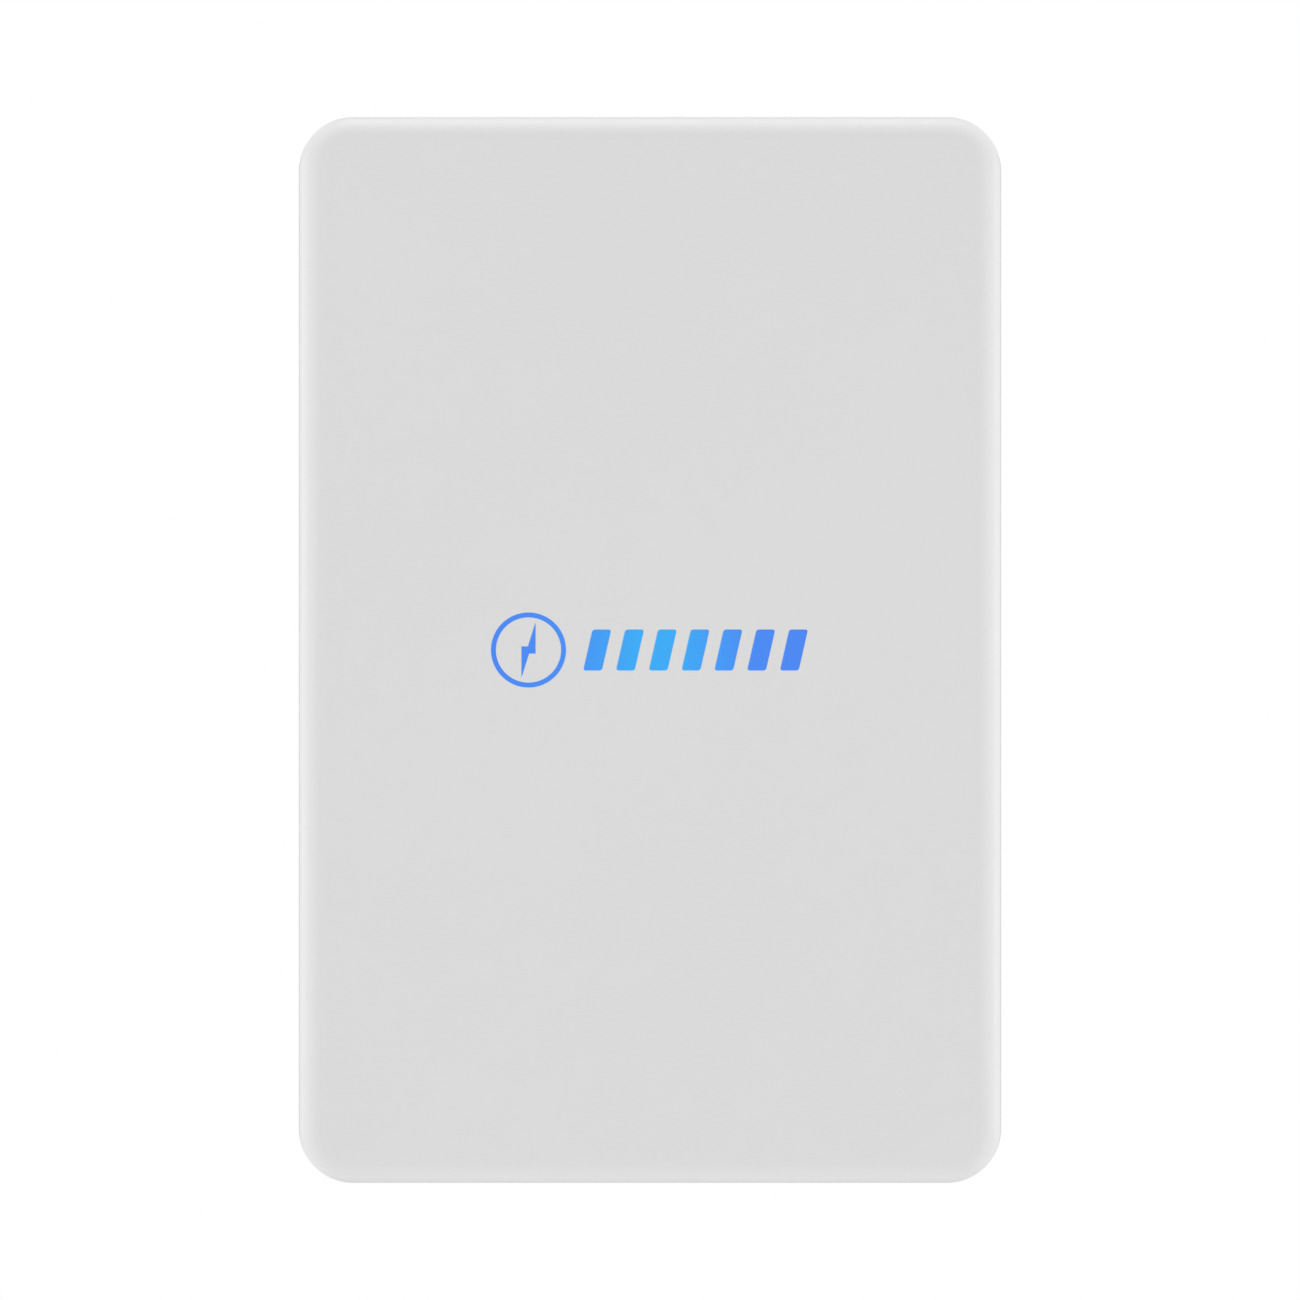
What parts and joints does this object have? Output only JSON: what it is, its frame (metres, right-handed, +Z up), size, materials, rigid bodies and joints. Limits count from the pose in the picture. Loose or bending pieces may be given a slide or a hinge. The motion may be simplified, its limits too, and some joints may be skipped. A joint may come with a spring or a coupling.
{
  "type": "wall battery unit",
  "caption": "Slim home battery on a wall bracket: pale rounded front cover, grey case, side switch recess with a flap, and a connection recess in the underside.",
  "frame": {"origin": "on the wall bracket's back face, level with the middle of the case's height and width", "axes": "+Z up, +Y into the wall, so that the front faces -Y, and +X to the right of someone facing the unit"},
  "size_m": [0.6, 0.1131, 0.91],
  "materials": {
    "zinc": "zinc-plated, dull",
    "stainless": "bright stainless",
    "case_paint": "fine-textured grey powder coat",
    "rubber": "matte black",
    "aluminium": "bare mill finish",
    "cover": "pale grey satin",
    "cell_can": "blue insulating film over an aluminium can",
    "copper": "bare copper",
    "silicone": "soft matte gap filler",
    "fibre": "pressed insulating sheet",
    "circuit_board": "solder mask",
    "ceramic": "white ceramic",
    "black_plastic": "matte black",
    "orange_plastic": "satin orange",
    "grey_plastic": "matte mid grey",
    "white_plastic": "satin white",
    "clear_plastic": "clear polycarbonate",
    "light_pipe": "milky light pipe",
    "brass": "bright brass",
    "red_insulation": "red cable jacket",
    "black_insulation": "black cable jacket"
  },
  "bodies": {
    "unit": {"wall_bracket": "zinc", "hanger_rail": "zinc", "lock_screw_left": "stainless", "lock_screw_right": "stainless", "rear_case": "case_paint", "lid_gasket": "rubber", "inner_lid": "aluminium", "lid_screw_1": "stainless", "lid_screw_2": "stainless", "lid_screw_3": "stainless", "lid_screw_4": "stainless", "cover_grommet_1": "rubber", "cover_grommet_2": "rubber", "cover_grommet_3": "rubber", "cover_grommet_4": "rubber", "cell_1": "cell_can", "cell_2": "cell_can", "cell_3": "cell_can", "cell_4": "cell_can", "cell_5": "cell_can", "cell_6": "cell_can", "cell_7": "cell_can", "cell_8": "cell_can", "cell_link_1": "copper", "cell_link_2": "copper", "cell_link_3": "copper", "cell_link_4": "copper", "cell_link_5": "copper", "cell_link_6": "copper", "cell_link_7": "copper", "positive_busbar": "copper", "negative_busbar": "copper", "shunt": "copper", "thermal_pad": "silicone", "insulation_sheet": "fibre", "retaining_plate": "aluminium", "heat_sink": "aluminium", "converter_board": "circuit_board", "bms_board": "circuit_board", "main_fuse": "ceramic", "contactor": "black_plastic", "output_lead_positive": "red_insulation", "output_lead_negative": "black_insulation", "dc_socket_positive": "orange_plastic", "dc_socket_negative": "black_plastic", "data_port_block": "black_plastic", "breather_vent": "black_plastic", "earth_stud": "brass", "earth_nut": "stainless", "switch_tray": "grey_plastic", "status_light": "light_pipe", "dc_breaker": "black_plastic", "flap_hinge_pin": "stainless", "button_spring": "stainless", "button_switch": "black_plastic"},
    "cover": {"front_cover": "cover"},
    "breaker_flap": {"breaker_flap": "clear_plastic"},
    "breaker_toggle": {"breaker_toggle": "white_plastic"},
    "power_button": {"power_button": "white_plastic"},
    "data_port_flap": {"data_port_flap": "grey_plastic"}
  },
  "joints": [
    {"name": "cover_pull", "type": "slide", "parent": "unit", "child": "cover", "axis": [0, -1, 0], "range_m": [0, 0.15]},
    {"name": "breaker_flap_hinge", "type": "hinge", "parent": "unit", "child": "breaker_flap", "pos_m": [0.2976, -0.04895, -0.2474], "axis": [0, -1, 0], "range_deg": [0, 95]},
    {"name": "breaker_toggle_hinge", "type": "hinge", "parent": "unit", "child": "breaker_toggle", "pos_m": [0.285, -0.04895, -0.2894], "axis": [0, 1, 0], "range_deg": [0, 70]},
    {"name": "power_button_press", "type": "slide", "parent": "unit", "child": "power_button", "axis": [-1, 0, 0], "range_m": [0, 0.002], "stiffness_N_per_m": 500, "springref_m": -0.002, "deforming": ["button_spring"]},
    {"name": "data_port_flap_hinge", "type": "hinge", "parent": "unit", "child": "data_port_flap", "pos_m": [-0.012, -0.0325, -0.4188], "axis": [1, 0, 0], "range_deg": [0, 100]}
  ]
}
